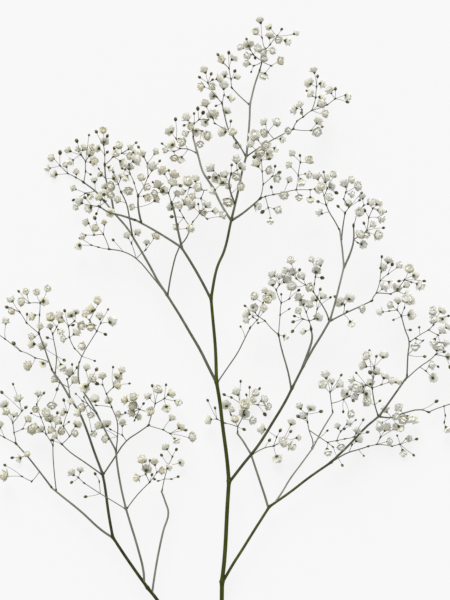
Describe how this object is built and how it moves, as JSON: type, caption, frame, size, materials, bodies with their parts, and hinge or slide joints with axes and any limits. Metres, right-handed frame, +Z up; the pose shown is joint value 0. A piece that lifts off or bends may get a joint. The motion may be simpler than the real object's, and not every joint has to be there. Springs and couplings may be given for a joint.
{
  "type": "gypsophila stem",
  "caption": "Cut stem of double gypsophila lying on its side, with forked side branches and airy sprays of small creamy blooms and closed buds.",
  "frame": {"origin": "centre of the bounding box's footprint, on the surface that the stem lies on", "axes": "+Y from the cut end towards the tip of the stem, +X to the right seen from above, +Z up from the surface"},
  "size_m": [0.5039, 0.7293, 0.0929],
  "materials": {
    "stem": "matte olive green skin",
    "branch": "matte light olive green skin",
    "bloom": "matte creamy white petals"
  },
  "bodies": {
    "root": {"main_stem": "stem", "high_left_branch": "branch", "high_right_branch": "branch", "left_branch": "branch", "lower_branch": "branch", "lower_left_branch": "branch", "lower_middle_branch": "branch", "lower_right_branch": "branch", "right_branch": "branch", "right_inner_branch": "branch", "right_rear_branch": "branch", "upper_left_branch": "branch", "arch_spray": "bloom", "centre_right_spray": "bloom", "corner_left_spray": "bloom", "corner_up_spray": "bloom", "crest_inner_spray": "bloom", "crest_left_spray": "bloom", "crown_far_left_spray": "bloom", "crown_left_spray": "bloom", "fan_left_spray": "bloom", "fan_middle_spray": "bloom", "fan_right_spray": "bloom", "fan_upper_spray": "bloom", "far_left_low_spray": "bloom", "far_left_middle_spray": "bloom", "far_left_up_spray": "bloom", "hand_spray": "bloom", "heart_spray": "bloom", "high_left_spray": "bloom", "high_right_spray": "bloom", "inner_side_spray": "bloom", "inner_tip_spray": "bloom", "left_back_spray": "bloom", "left_crown_spray": "bloom", "left_inner_spray": "bloom", "left_low_spray": "bloom", "left_tip_spray": "bloom", "low_heart_spray": "bloom", "low_right_spray": "bloom", "low_side_spray": "bloom", "middle_left_spray": "bloom", "middle_right_spray": "bloom", "net_left_spray": "bloom", "net_middle_spray": "bloom", "net_right_spray": "bloom", "net_upper_spray": "bloom", "peak_left_spray": "bloom", "peak_right_spray": "bloom", "peak_spray": "bloom", "right_edge_spray": "bloom", "right_far_spray": "bloom", "right_high_spray": "bloom", "right_low_spray": "bloom", "right_middle_spray": "bloom", "right_shoulder_spray": "bloom", "shelf_left_spray": "bloom", "shelf_spray": "bloom", "shoulder_spray": "bloom", "tip_spray": "bloom"}
  },
  "joints": []
}
